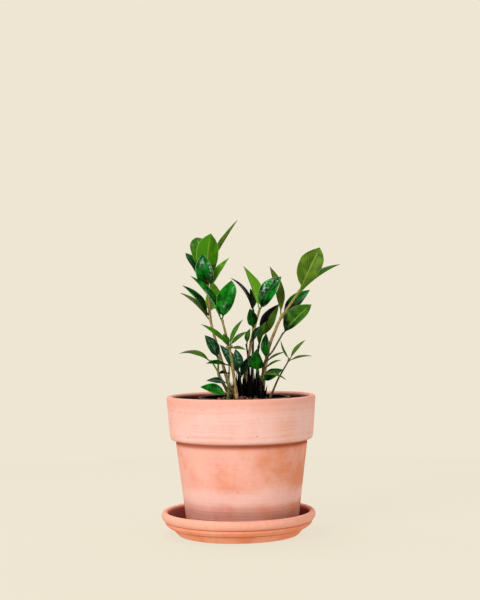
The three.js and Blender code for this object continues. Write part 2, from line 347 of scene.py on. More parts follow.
# one colour laid over another where a mask says, as strongly as amount says
def layer(tree, colour, mask, amount, over, mode="MIX"):
    return blend(tree, calc(tree, "MULTIPLY", mask, amount), colour, over, mode)


def remap(tree, value, low, high, toLow=0.0, toHigh=1.0, smooth=True):
    inputs = {"Value": value, "From Min": low, "From Max": high, "To Min": toLow, "To Max": toHigh}
    kind = "SMOOTHSTEP" if smooth else "LINEAR"
    return addNode(tree, "ShaderNodeMapRange", inputs, interpolation_type=kind).outputs["Result"]


def objectPlace(tree):
    return addNode(tree, "ShaderNodeTexCoord").outputs["Object"]


def surfaceValue(tree, name):
    return addNode(tree, "ShaderNodeAttribute", attribute_name=name).outputs["Fac"]


# A shared effect: None marks the input for the place on the surface, and the rest are numbers.
def newGroup(name, inputs, outputs):
    tree = bpy.data.node_groups.new(name, "ShaderNodeTree")
    for label, value in inputs.items():
        kind = "NodeSocketVector" if value is None else "NodeSocketFloat"
        socket = tree.interface.new_socket(label, in_out="INPUT", socket_type=kind)
        if value is not None:
            socket.default_value = value
    for label in outputs:
        tree.interface.new_socket(label, in_out="OUTPUT", socket_type="NodeSocketFloat")
    return tree, tree.nodes.new("NodeGroupInput").outputs, tree.nodes.new("NodeGroupOutput").inputs


def useGroup(tree, group, inputs):
    return addNode(tree, "ShaderNodeGroup", inputs, node_tree=group).outputs


def newMaterial(name):
    material = bpy.data.materials.new(name)
    material.use_nodes = True
    return material, material.node_tree, material.node_tree.nodes["Principled BSDF"]


# Gives the shader its colour and roughness, a bump of a strength and depth, and its gloss.
def dress(tree, shader, colour, roughness, height, strength, depth, gloss):
    inputs = {"Height": height, "Strength": strength, "Distance": depth}
    bump = addNode(tree, "ShaderNodeBump", inputs).outputs[0]
    for label, value in (("Base Color", colour), ("Roughness", roughness), ("Normal", bump)):
        tree.links.new(value, shader.inputs[label])
    shader.inputs["Specular IOR Level"].default_value = gloss


# soft patches of light and dark
def makeMottle():
    tree, given, result = newGroup(
        "mottle", {"Vector": None, "Scale": 60.0, "Detail": 4.0, "Low": 0.35, "High": 0.65}, ["Mask"])
    cloud = addNode(tree, "ShaderNodeTexNoise", {"Vector": given["Vector"], "Scale": given["Scale"],
                                                 "Detail": given["Detail"], "Roughness": 0.6})
    tree.links.new(remap(tree, cloud.outputs[0], given["Low"], given["High"]), result["Mask"])
    return tree


# the faint rings that a throwing wheel or a mould leaves round a pot
def makeWheelLines():
    tree, given, result = newGroup(
        "wheelLines", {"Vector": None, "Lines": 900.0, "Waviness": 0.002}, ["Height"])
    split = addNode(tree, "ShaderNodeSeparateXYZ", {"Vector": given["Vector"]})
    sway = addNode(tree, "ShaderNodeTexNoise", {"Vector": given["Vector"], "Scale": 14.0, "Detail": 1.0})
    level = calc(tree, "MULTIPLY_ADD", sway.outputs[0], given["Waviness"], split.outputs["Z"])
    lines = addNode(tree, "ShaderNodeTexNoise", {"W": calc(tree, "MULTIPLY", level, given["Lines"]),
                                                 "Scale": 1.0, "Detail": 2.0}, noise_dimensions="1D")
    tree.links.new(lines.outputs[0], result["Height"])
    return tree


# a stretch between two heights, with a ragged edge
def makeLevelBand():
    tree, given, result = newGroup(
        "levelBand", {"Vector": None, "Start": 0.0, "End": 0.01, "Ragged": 0.01, "Scale": 30.0}, ["Mask"])
    split = addNode(tree, "ShaderNodeSeparateXYZ", {"Vector": given["Vector"]})
    cloud = addNode(tree, "ShaderNodeTexNoise", {"Vector": given["Vector"], "Scale": given["Scale"],
                                                 "Detail": 5.0, "Roughness": 0.65})
    shift = calc(tree, "MULTIPLY", calc(tree, "SUBTRACT", cloud.outputs[0], 0.5), given["Ragged"])
    level = calc(tree, "ADD", split.outputs["Z"], shift)
    tree.links.new(remap(tree, level, given["Start"], given["End"]), result["Mask"])
    return tree


# small round pits and grains
def makeSpeckle():
    tree, given, result = newGroup(
        "speckle", {"Vector": None, "Scale": 400.0, "Size": 0.2, "Rarity": 0.7}, ["Mask"])
    cells = addNode(tree, "ShaderNodeTexVoronoi", {"Vector": given["Vector"], "Scale": given["Scale"]})
    core = calc(tree, "MULTIPLY", given["Size"], 0.5)
    dot = remap(tree, cells.outputs["Distance"], given["Size"], core)
    split = addNode(tree, "ShaderNodeSeparateColor", {"Color": cells.outputs["Color"]})
    kept = calc(tree, "GREATER_THAN", split.outputs[0], given["Rarity"])
    tree.links.new(calc(tree, "MULTIPLY", dot, kept), result["Mask"])
    return tree


# masks for the midrib, the side veins and the margin of a leaf
def makeVeins():
    tree, given, result = newGroup(
        "leafVeins",
        {"Along": 0.0, "Across": 0.0, "Vector": None, "Count": 11.0, "Slant": 0.45, "Margin": 0.93},
        ["Midrib", "Veins", "Margin"])
    out = calc(tree, "ABSOLUTE", given["Across"])
    midrib = remap(tree, out, 0.085, 0.02)
    waver = addNode(tree, "ShaderNodeTexNoise", {"Vector": given["Vector"], "Scale": 120.0, "Detail": 2.0})
    slant = calc(tree, "MULTIPLY", given["Slant"], -1.0)
    run = calc(tree, "MULTIPLY_ADD", calc(tree, "POWER", out, 0.8), slant, given["Along"])
    run = calc(tree, "MULTIPLY_ADD", waver.outputs[0], 0.05, run)
    turns = calc(tree, "MULTIPLY", given["Count"], 2 * math.pi)
    wave = calc(tree, "SINE", calc(tree, "MULTIPLY", run, turns))
    veins = calc(tree, "MULTIPLY", remap(tree, wave, 0.7, 1.0), remap(tree, out, 1.0, 0.55))
    margin = remap(tree, out, given["Margin"], calc(tree, "ADD", given["Margin"], 0.05))
    for label, value in (("Midrib", midrib), ("Veins", veins), ("Margin", margin)):
        tree.links.new(value, result[label])
    return tree


mottle = makeMottle()
wheelLines = makeWheelLines()
levelBand = makeLevelBand()
speckle = makeSpeckle()
leafVeins = makeVeins()


def mottled(tree, place, scale, detail, low=0.35, high=0.65):
    inputs = {"Vector": place, "Scale": scale, "Detail": detail, "Low": low, "High": high}
    return useGroup(tree, mottle, inputs)["Mask"]


def lined(tree, place, lines, waviness):
    return useGroup(tree, wheelLines, {"Vector": place, "Lines": lines, "Waviness": waviness})["Height"]


def levelMask(tree, place, start, end, ragged=0.0):
    inputs = {"Vector": place, "Start": start, "End": end, "Ragged": ragged}
    return useGroup(tree, levelBand, inputs)["Mask"]


def speckled(tree, place, scale, size, rarity):
    inputs = {"Vector": place, "Scale": scale, "Size": size, "Rarity": rarity}
    return useGroup(tree, speckle, inputs)["Mask"]


# clay

clayFinish = {
    "pale": "#ebb6a9",
    "warm": "#dd8c6c",
    "pink": "#ebc0ba",
    "lip": "#df927b",
    "bodyWarm": "#ecaa9c",
    "bloom": "#eec0ba",
    "damp": "#944f42",
    "dampDark": "#5e2a24",
    # inside and insideDark: painted shade on the inner wall
    "inside": "#5e1c12",
    "insideDark": "#2c0a07",
    # groove: the colour of the painted shadow under the band, also used for fine random flecks
    "groove": "#a04414",
    "bloomRise": (0.19, 0.25),  # where the bloom comes in and goes out, as shares of the pot's height
    "bloomFall": (0.38, 0.28),
    "dampFall": (0.26, 0.14),
    "bloomAmount": 0.75,
    "dampAmount": 0.52,
    "pitAmount": 0.55,
    "grooveShadeAmount": 0.85,
    "roughness": 0.86,
    "gloss": 0.25,
}


def makeClay(lowest, highest, bandFoot):
    material, tree, shader = newMaterial("bakedClay")
    look = clayFinish
    place = objectPlace(tree)

    def edgeAt(name, ragged):
        start, end = (lowest + share * (highest - lowest) for share in look[name])
        return levelMask(tree, place, start, end, ragged)

    patches = mottled(tree, place, 22.0, 4.0)
    clouds = mottled(tree, place, 40.0, 5.0)
    fine = mottled(tree, place, 240.0, 6.0, 0.3, 0.75)
    lines = lined(tree, place, 700.0, 0.003)
    fineLines = lined(tree, place, 2600.0, 0.001)
    # painted light and shade: the wall is paler on its left side and warmer and darker on its right, as if
    # lit from the left, over random patches
    sideways = addNode(tree, "ShaderNodeSeparateXYZ", {"Vector": place}).outputs["X"]
    sideShade = remap(tree, sideways, -0.045, 0.05, -0.45, 0.55)
    sideShade = calc(tree, "ADD", calc(tree, "SUBTRACT", patches, sideShade), 0.0, clamp=True)
    body = blend(tree, sideShade, look["warm"], look["bodyWarm"])
    body = layer(tree, body, clouds, 0.5, look["pale"])
    # the band round the rim, with strokes of the wheel and a warmer lip
    strokes = calc(tree, "MULTIPLY", remap(tree, lined(tree, place, 320.0, 0.012), 0.35, 0.65), clouds)
    lip = levelMask(tree, place, highest - 0.02, highest + 0.004, 0.008)
    rimBand = blend(tree, patches, look["pink"], look["pale"])
    rimBand = layer(tree, rimBand, strokes, 0.3, look["lip"])
    rimBand = layer(tree, rimBand, lip, 0.6, look["lip"])
    onBand = levelMask(tree, place, bandFoot - 0.002, bandFoot + 0.002)
    colour = blend(tree, onBand, body, rimBand)
    # a pale bloom of dried salts a third of the way up, and the damp foot below it
    bloom = calc(tree, "MULTIPLY", edgeAt("bloomRise", 0.012), edgeAt("bloomFall", 0.02))
    colour = layer(tree, colour, bloom, look["bloomAmount"], look["bloom"])
    streaks = remap(tree, lines, 0.35, 0.7)
    damp = calc(tree, "MULTIPLY", edgeAt("dampFall", 0.016), remap(tree, streaks, 0.0, 1.0, 0.6, 1.0))
    dampColour = blend(tree, mottled(tree, place, 55.0, 5.0), look["damp"], look["dampDark"])
    colour = layer(tree, colour, damp, look["dampAmount"], dampColour)
    colour = layer(tree, colour, streaks, 0.05, look["damp"], "MULTIPLY")
    colour = layer(tree, colour, fine, 0.07, look["groove"])
    pits = speckled(tree, place, 210.0, 0.2, 0.93)
    colour = layer(tree, colour, pits, look["pitAmount"], look["damp"])
    # painted shadow: a darker line in the groove just under the band's overhang
    colour = layer(tree, colour, surfaceValue(tree, "groove"), look["grooveShadeAmount"], look["groove"])
    # painted shade: the inner wall darkens from just under the rim downwards
    insideShade = blend(tree, clouds, look["inside"], look["insideDark"])
    colour = blend(tree, surfaceValue(tree, "inside"), colour, insideShade)
    rough = remap(tree, fine, 0.0, 1.0, look["roughness"] - 0.06, look["roughness"] + 0.08)
    rough = calc(tree, "MULTIPLY_ADD", damp, -0.12, rough)
    relief = calc(tree, "MULTIPLY_ADD", lines, 0.2, calc(tree, "MULTIPLY", fineLines, 0.12))
    relief = calc(tree, "MULTIPLY_ADD", fine, 0.2, relief)
    relief = calc(tree, "MULTIPLY_ADD", pits, -1.2, relief)
    dress(tree, shader, colour, rough, relief, 0.4, 0.2 * mm, look["gloss"])
    return material


saucerFinish = {
    "base": "#f2a284",
    "warm": "#e98a62",
    "pale": "#edb2a2",
    # groove: the colour of the painted shade in the saucer's grooves, also used for fine random flecks
    "groove": "#a4481e",
    # inside and insideDark: painted shade in the saucer's well under the pot
    "inside": "#902e18",
    "insideDark": "#6c1e0e",
    "roughness": (0.74, 0.9),
    "gloss": 0.3,
}


def makeSaucerClay(height):
    material, tree, shader = newMaterial("saucerClay")
    look = saucerFinish
    place = objectPlace(tree)
    fine = mottled(tree, place, 260.0, 6.0, 0.3, 0.75)
    lines = lined(tree, place, 1500.0, 0.001)
    top = levelMask(tree, place, 0.45 * height, 0.8 * height, 0.004)
    colour = blend(tree, mottled(tree, place, 30.0, 4.0), look["base"], look["warm"])
    colour = layer(tree, colour, top, 0.8, look["pale"])
    colour = layer(tree, colour, remap(tree, lines, 0.4, 0.7), 0.25, look["warm"])
    colour = layer(tree, colour, fine, 0.15, look["groove"])
    # painted shade: the saucer's grooves are darker
    colour = layer(tree, colour, surfaceValue(tree, "groove"), 0.75, look["groove"])
    # painted shade: the well of the saucer is darker
    insideShade = blend(tree, mottled(tree, place, 60.0, 5.0), look["inside"], look["insideDark"])
    colour = blend(tree, surfaceValue(tree, "inside"), colour, insideShade)
    rough = remap(tree, fine, 0.0, 1.0, *look["roughness"])
    relief = calc(tree, "MULTIPLY_ADD", lines, 0.6, calc(tree, "MULTIPLY", fine, 0.4))
    dress(tree, shader, colour, rough, relief, 0.5, 0.22 * mm, look["gloss"])
    return material


# nursery pot plastic and soil

# edge is the colour of a painted highlight along the top of the rim
plasticFinish = {"black": "#020202", "dust": "#20140f", "edge": "#7a5a50", "roughness": (0.6, 0.9),
                 "gloss": 0.1}


def makePlastic():
    material, tree, shader = newMaterial("blackPlastic")
    look = plasticFinish
    place = objectPlace(tree)
    dust = mottled(tree, place, 90.0, 6.0, 0.5, 0.8)
    specks = speckled(tree, place, 700.0, 0.3, 0.8)
    dusty = calc(tree, "MAXIMUM", calc(tree, "MULTIPLY", dust, 0.5), calc(tree, "MULTIPLY", specks, 0.6))
    # painted highlight: a thin pale line along the top of the rim
    edge = levelMask(tree, place, nurseryHigh.z - 0.9 * mm, nurseryHigh.z - 0.3 * mm)
    colour = blend(tree, dusty, look["black"], look["dust"])
    colour = layer(tree, colour, edge, 0.7, look["edge"])
    rough = remap(tree, dust, 0.0, 1.0, *look["roughness"])
    dress(tree, shader, colour, rough, dust, 0.2, 0.1 * mm, look["gloss"])
    return material


soilFinish = {"dark": "#1f120d", "brown": "#4a2a1e", "red": "#8a5544", "pale": "#a87a68",
              "roughness": (0.8, 1.0), "gloss": 0.15}


def makeSoilFinish():
    material, tree, shader = newMaterial("peatSoil")
    look = soilFinish
    place = objectPlace(tree)
    clods = mottled(tree, place, 260.0, 6.0, 0.35, 0.7)
    grain = mottled(tree, place, 1200.0, 4.0)
    ground = blend(tree, clods, look["dark"], look["brown"])
    crumbs = blend(tree, grain, look["red"], look["pale"])
    colour = blend(tree, surfaceValue(tree, "crumb"), ground, crumbs)
    rough = remap(tree, grain, 0.0, 1.0, *look["roughness"])
    relief = calc(tree, "MULTIPLY_ADD", clods, 1.0, calc(tree, "MULTIPLY", grain, 0.4))
    dress(tree, shader, colour, rough, relief, 0.8, 0.6 * mm, look["gloss"])
    return material


# stems

stemFinishes = {
    "tan": {"light": "#b09660", "dark": "#6a5028", "green": "#7c7a34"},
    "green": {"light": "#868a44", "dark": "#3e481c", "green": "#5a7a28"},
    "brown": {"light": "#6c5434", "dark": "#281c10", "green": "#4c5626"},
    # near black: painted shade for stems that stand in the shadow of the leaves
    "night": {"light": "#16180c", "dark": "#060704", "green": "#1c280e"},
}


def makeStemFinish(name):
    look = stemFinishes[name]
    material, tree, shader = newMaterial("stem" + name.capitalize())
    place = objectPlace(tree)
    stretched = addNode(tree, "ShaderNodeMapping", {"Vector": place, "Scale": (1, 1, 0.22)}).outputs[0]
    streaks = mottled(tree, stretched, 900.0, 4.0, 0.4, 0.62)
    flecks = speckled(tree, place, 620.0, 0.32, 0.55)
    colour = blend(tree, streaks, look["light"], look["dark"])
    colour = layer(tree, colour, remap(tree, surfaceValue(tree, "along"), 0.55, 1.0), 0.6, look["green"])
    colour = layer(tree, colour, flecks, 0.5, look["dark"])
    rough = remap(tree, streaks, 0.0, 1.0, 0.38, 0.55)
    dress(tree, shader, colour, rough, streaks, 0.35, 0.1 * mm, 0.5)
    return material


# leaves

toneParts = ("upper", "upperDark", "under", "rib", "margin", "rough", "veins", "gloss", "glint")
leafTones = {
    "fresh": ("#3c7606", "#2a5a02", "#3f7c05", "#6c9a28", "#94bc54", 0.4, 0.14, 0.08),
    "lime": ("#5c9a1c", "#356c06", "#5a9216", "#8cb84c", "#9cc05c", 0.4, 0.14, 0.08),
    "glossy": ("#087a1a", "#023208", "#2c5c18", "#1e7826", "#a0c88c", 0.17, 0.05, 0.3, "#b4dcc8"),
    "bright": ("#0a860a", "#033c04", "#3c7a1a", "#2c862a", "#5c9a40", 0.24, 0.06, 0.16),
    "deep": ("#0c5e0a", "#042a04", "#2e5c10", "#24661c", "#3c7a2c", 0.3, 0.05, 0.1),
    # near black: painted shade for leaves that stand in shadow
    "night": ("#06240a", "#020c04", "#14240a", "#0a220a", "#163c10", 0.36, 0.03, 0.05),
    "olive": ("#456a0c", "#2a4a06", "#4a5e18", "#7c8c3c", "#66782e", 0.46, 0.45, 0.08),
    "broad": ("#567c14", "#3a5c08", "#567420", "#8c9c4c", "#70842e", 0.44, 0.5, 0.08),
    "moss": ("#3a7008", "#1a4404", "#4e7616", "#78964a", "#7e9e3c", 0.4, 0.14, 0.1),
    "teal": ("#0a4c1e", "#021606", "#24502a", "#5c9068", "#6ca47a", 0.2, 0.4, 0.3, "#68b086"),
    # near black: painted shade for the scale leaves round the shoot feet
    "husk": ("#070605", "#020202", "#080604", "#0e0c08", "#0c0a06", 0.6, 0.1, 0.04),
}
# the colour of the painted highlight patches, for tones that give none of their own
usualGlint = "#9cc8a8"
deepShade = "#020a03"


def makeLeafFinish(name):
    look = {"glint": usualGlint, **dict(zip(toneParts, leafTones[name]))}
    material, tree, shader = newMaterial("leaf" + name.capitalize())
    place = objectPlace(tree)
    under = surfaceValue(tree, "under")
    veins = useGroup(tree, leafVeins, {"Along": surfaceValue(tree, "along"),
                                       "Across": surfaceValue(tree, "across"), "Vector": place})
    patches = mottled(tree, place, 120.0, 5.0, 0.38, 0.62)
    cells = mottled(tree, place, 900.0, 3.0)
    upperSide = blend(tree, patches, look["upper"], look["upperDark"])
    underSide = layer(tree, look["under"], patches, 0.4, look["upper"])
    colour = blend(tree, under, upperSide, underSide)
    colour = layer(tree, colour, veins["Veins"], look["veins"], look["rib"])
    colour = layer(tree, colour, cells, 0.12, look["upperDark"])
    colour = layer(tree, colour, veins["Midrib"], 0.75, look["rib"])
    # the pale margin is partly the blade's own lighter edge and partly a painted highlight along it
    colour = layer(tree, colour, veins["Margin"], 0.7, look["margin"])
    # painted shade: the foot, the tip or one side of a blade is darkened as if shaded by its neighbours,
    # with a broken edge
    broken = calc(tree, "SUBTRACT", patches, 0.5)
    shade = calc(tree, "MULTIPLY_ADD", broken, 0.3, surfaceValue(tree, "shade"))
    colour = blend(tree, remap(tree, shade, 0.15, 0.95), colour, deepShade)
    # painted highlight: pale patches laid on some blades where they would catch the light
    glintPatches = mottled(tree, place, 330.0, 5.0, 0.47, 0.6)
    glintPatches = calc(tree, "MULTIPLY", glintPatches, surfaceValue(tree, "glint"), clamp=True)
    colour = layer(tree, colour, glintPatches, 0.75, look["glint"])
    rough = remap(tree, cells, 0.0, 1.0, look["rough"] - 0.05, look["rough"] + 0.08)
    rough = calc(tree, "MULTIPLY_ADD", under, 0.2, rough)
    relief = calc(tree, "MULTIPLY", veins["Veins"], -0.5)
    relief = calc(tree, "MULTIPLY_ADD", patches, 0.8, relief)
    relief = calc(tree, "MULTIPLY_ADD", cells, 0.15, relief)
    dress(tree, shader, colour, rough, relief, 0.3, 0.2 * mm, look["gloss"])
    return material


stemMaterials = {name: makeStemFinish(name) for name in stemFinishes}
leafMaterials = {name: makeLeafFinish(name) for name in leafTones}
print("finishes made")


# turned clay: saucer and pot

# Corners of a section as (radius, height, rounding), all in millimetres; rounded corners become arcs.
def roundedSection(corners):
    points = []
    for i, (radius, height, rounding) in enumerate(corners):
        here = Vector((radius, height))
        if rounding == 0:
            points.append(here)
            continue
        before = Vector(corners[i - 1][:2])
        after = Vector(corners[(i + 1) % len(corners)][:2])
        start = here + (before - here).normalized() * min(rounding, (before - here).length * 0.48)
        end = here + (after - here).normalized() * min(rounding, (after - here).length * 0.48)
        for k in range(7):
            t = k / 6
            points.append(start * (1 - t) ** 2 + here * (2 * t * (1 - t)) + end * t ** 2)
    return points


def evenSteps(points, step):
    fine = [points[0]]
    for a, b in zip(points, points[1:]):
        pieces = max(1, math.ceil((b - a).length / step))
        fine += [a.lerp(b, (k + 1) / pieces) for k in range(pieces)]
    return fine


# Sweeps a section round an upright axis. relief(radius, height, angle) moves the surface out, in metres.
def turnedPiece(name, corners, centre, material, relief, fieldsAt, around=220, step=1.0):
    section = evenSteps(roundedSection(corners), step)
    closed = (section[0] - section[-1]).length < 1e-6
    if closed:
        section = section[:-1]
    rows = len(section)
    normals = []
    for i in range(rows):
        before = section[i - 1] if closed or i else section[0]
        after = section[(i + 1) % rows] if closed or i < rows - 1 else section[-1]
        run = (after - before).normalized()
        normals.append(Vector((run.y, -run.x)))
    vertices, fields = [], {}
    for i, point in enumerate(section):
        onAxis = point.x < 1e-6
        standing = point.y * mm <= centre.z + 1e-6
        for j in range(1 if onAxis else around):
            angle = 2 * math.pi * j / around
            lift = 0 if onAxis else relief(point.x * mm, point.y * mm, angle)
            radius = point.x * mm + normals[i].x * lift
            height = point.y * mm + (0 if standing else normals[i].y * lift)
            x, y = radius * math.cos(angle), radius * math.sin(angle)
            vertices.append((centre.x + x, centre.y + y, height))
            for key, value in fieldsAt(point.x, point.y, i / rows).items():
                fields.setdefault(key, []).append(value)
    starts = np.cumsum([0] + [1 if p.x < 1e-6 else around for p in section])
    faces = []
    for i in range(rows if closed else rows - 1):
        k = (i + 1) % rows
        a, b = int(starts[i]), int(starts[k])
        hereOnAxis = section[i].x < 1e-6
        nextOnAxis = section[k].x < 1e-6
        for j in range(around):
            n = (j + 1) % around
            if hereOnAxis and not nextOnAxis:
                faces.append((a, b + j, b + n))
            elif nextOnAxis and not hereOnAxis:
                faces.append((a + j, a + n, b))
            elif not hereOnAxis:
                faces.append((a + j, a + n, b + n, b + j))
    return addPiece(name, vertices, faces, material, fields)


saucerLow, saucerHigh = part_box("saucer")
saucerRim = (saucerHigh.x - saucerLow.x) / 2 / mm
saucerTop = saucerHigh.z / mm
saucerSizes = {"foot": 61, "floor": 6, "rimWidth": 6.5, "lowGroove": 7.5, "highGroove": 14.3,
               "wobble": 0.12 * mm, "lines": 0.05 * mm}


def makeSaucer():
    sizes = saucerSizes
    foot, floor = sizes["foot"], sizes["floor"]
    low, high = sizes["lowGroove"], sizes["highGroove"]
    inner = saucerRim - sizes["rimWidth"]
    corners = [
        (0, 0, 0), (foot - 0.5, 0, 1.2), (foot + 5.4, low - 0.6, 0.8), (foot + 6.0, low, 0.3),
        (foot + 8.6, low + 0.4, 1.2), (foot + 12.6, 11.2, 1.8), (foot + 13.1, high - 0.7, 0.8),
        (foot + 12.6, high - 0.1, 0.25), (saucerRim - 2.6, high + 0.3, 0.8), (saucerRim - 0.5, 17.2, 2.0),
        (saucerRim, 20.4, 2.4),
        (saucerRim - 1.1, 23.1, 1.6), (saucerRim - 3.2, saucerTop, 1.6), (inner + 1.0, saucerTop - 0.9, 1.0),
        (inner, saucerTop - 3, 1.5), (foot + 2.5, floor + 2.2, 2.5), (foot - 1, floor, 2.5), (0, floor, 0)]
    seeds = Vector((3.1, 7.7, 1.9))

    def relief(radius, height, angle):
        around = Vector((math.cos(angle), math.sin(angle), height * 25)) * 1.3 + seeds
        rings = noise.noise(Vector((height * 1400, angle * 0.35, radius * 300)))
        return sizes["wobble"] * noise.noise(around) + sizes["lines"] * rings

    def fieldsAt(radius, height, share):
        # inside marks the saucer's well for painted shade
        inside = share > 0.5 and radius < inner + 1.2
        # the grooves are marked for painted shade
        grooveShade = max(math.exp(-((height - high) / 0.55) ** 2), math.exp(-((height - low) / 0.6) ** 2))
        return {"inside": float(smoothStep(inner + 1.2, inner - 0.6, radius)) if inside else 0.0,
                "groove": grooveShade if share < 0.62 else 0.0}

    material = makeSaucerClay(saucerHigh.z)
    return turnedPiece("saucer_turned", corners, Vector((0, 0, 0)), material, relief, fieldsAt)


clayLow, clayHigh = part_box("terracotta_pot")
clayMiddle = (clayLow + clayHigh) / 2
clayMiddle.z = clayLow.z
claySizes = {
    "wall": 6, "band": 43.7, "bandStep": 4, "neck": 66.4, "foot": 55.5, "floor": 8, "drain": 7,
    "wobble": 0.25 * mm, "lines": 0.045 * mm, "nicks": 26, "nickDepth": 0.45 * mm,
}


def makeClayPot():
    sizes = claySizes
    rim = (clayHigh.x - clayLow.x) / 2 / mm
    low, high = clayLow.z / mm, clayHigh.z / mm
    bandFoot = high - sizes["band"]
    inside = rim - sizes["wall"]
    neck, foot, drain = sizes["neck"], sizes["foot"], sizes["drain"]
    step = sizes["bandStep"]
    corners = [
        (drain, low, 0.6), (foot - 1.5, low, 1.2), (foot + 0.3, low + 2.2, 1.6),
        (neck - 0.3, bandFoot - 3, 1.5), (neck - 1.1, bandFoot - 1.3, 0.7),
        (neck - 1.0, bandFoot + 0.1, 0.5), (neck + step - 0.3, bandFoot - 0.1, 1.6),
        (neck + step + 1.5, bandFoot + 2.4, 2.2),
        (rim, high - 2.8, 2.2), (rim - 0.6, high - 0.6, 0.9),
        (rim - 2.2, high, 1.2), (inside + 1.2, high - 0.3, 1.2), (inside, high - 2.2, 1.6),
        (inside - 7.5, bandFoot - 1, 6), (foot - 6, low + sizes["floor"] + 2.5, 3),
        (foot - 9, low + sizes["floor"], 2), (drain, low + sizes["floor"], 0.8), (drain, low, 0.6)]
    rng = random.Random(11)
    nicks = [(rng.uniform(0, 2 * math.pi),
              rng.choice([rng.uniform(bandFoot + 4, high - 6), rng.uniform(low, high)]),
              rng.uniform(0.5, 1.3), rng.uniform(0.3, 1)) for _ in range(sizes["nicks"])]

    def relief(radius, height, angle):
        around = Vector((math.cos(angle) * 1.1, math.sin(angle) * 1.1, height * 14))
        lift = sizes["wobble"] * noise.noise(around)
        lift += sizes["lines"] * noise.noise(Vector((height * 900, angle * 0.4, 3.3)))
        lift += 0.5 * sizes["lines"] * noise.noise(Vector((height * 2600, angle * 0.8, 8.1)))
        for where, level, size, depth in nicks:
            run = (math.remainder(angle - where, 2 * math.pi) * radius / mm / size) ** 2
            run += ((height / mm - level) / size / 0.7) ** 2
            if run < 6:
                lift -= sizes["nickDepth"] * depth * math.exp(-run)
        return lift

    def fieldsAt(radius, height, share):
        outer = share < 0.52
        # groove marks the strip under the band for painted shadow
        groove = math.exp(-((height - bandFoot + 2.6) / 2.4) ** 2) if outer and radius < rim - 3 else 0.0
        # inside marks the inner wall for painted shade, fading in from just under the rim
        return {"inside": 0.0 if outer else float(smoothStep(high - 0.6, high - 4, height)),
                "groove": groove}

    material = makeClay(clayLow.z, clayHigh.z, bandFoot * mm)
    return turnedPiece("clay_pot_turned", corners, clayMiddle, material, relief, fieldsAt, around=260)


# nursery pot, moulded in thin plastic

nurseryLow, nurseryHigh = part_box("nursery_pot")
nurseryMiddle = (nurseryLow + nurseryHigh) / 2
nurseryMiddle.z = nurseryLow.z
nurserySizes = {"foot": 34, "wall": 1.2, "lip": 5.5, "drain": 4.5, "drainCount": 5, "drainRing": 20,
                "wobble": 0.25 * mm, "roundUpTo": 20 * mm}


def makeNurseryPot():
    sizes = nurserySizes
    rim = (nurseryHigh.x - nurseryLow.x) / 2 / mm
    low, high = nurseryLow.z / mm, nurseryHigh.z / mm
    foot, wall, lip = sizes["foot"], sizes["wall"], sizes["lip"]
    neck = rim - 1.5
    corners = [
        (0, low, 0), (foot - 0.6, low, 1.2), (neck, high - lip, 0.3), (rim - 0.2, high - lip + 0.1, 0.3),
        (rim, high - 0.7, 0.7), (rim - 0.9, high, 0.5), (neck - wall + 0.2, high - 0.1, 0.6),
        (neck - wall, high - lip, 0.4), (foot - wall - 0.4, low + wall + 0.2, 1.2), (0, low + wall, 0)]

    def relief(radius, height, angle):
        wave = noise.noise(Vector((math.cos(angle) * 1.5, math.sin(angle) * 1.5, height * 12)))
        return sizes["wobble"] * wave if height > clayLow.z + sizes["roundUpTo"] else 0.0

    piece = turnedPiece("nursery_pot_moulded", corners, nurseryMiddle, makePlastic(), relief,
                        lambda radius, height, share: {}, around=160, step=2.0)
    cutters = []
    for i in range(sizes["drainCount"]):
        angle = 2 * math.pi * i / sizes["drainCount"]
        bpy.ops.mesh.primitive_cylinder_add(
            vertices=32, radius=sizes["drain"] * mm, depth=8 * mm,
            location=(nurseryMiddle.x + sizes["drainRing"] * mm * math.cos(angle),
                      nurseryMiddle.y + sizes["drainRing"] * mm * math.sin(angle), nurseryLow.z))
        cutters.append(bpy.context.object)
    bpy.context.view_layer.objects.active = piece
    for cutter in cutters:
        hole = piece.modifiers.new("drain", "BOOLEAN")
        hole.operation = "DIFFERENCE"
        hole.solver = "EXACT"
        hole.object = cutter
        bpy.ops.object.modifier_apply(modifier=hole.name)
        bpy.data.objects.remove(cutter)
    return piece


# soil: a rough peaty top with crumbs of bark

soilLow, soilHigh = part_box("potting_soil")
soilSizes = {
    "rings": 46, "around": 150,
    "dome": 2.5 * mm,       # how much the top falls off towards the wall
    "heap": 3.6 * mm, "heapWidth": 0.62,
    "rough": 1.2 * mm,
    "taper": 0.74,          # foot radius over top radius
    "crumbs": 420,
    "fineCrumb": (0.5, 1.5), "coarseCrumb": (1.5, 2.8), "fineShare": 0.85,
}


def soilLevel(x, y, radius):
    away = math.hypot(x, y) / radius
    level = soilHigh.z - soilSizes["dome"] * away ** 2 - 0.6 * mm
    level += soilSizes["heap"] * math.exp(-(away / soilSizes["heapWidth"]) ** 6)
    level += soilSizes["rough"] * noise.fractal(Vector((x, y, 0.2)) * 110, 0.9, 2.1, 4)
    return level


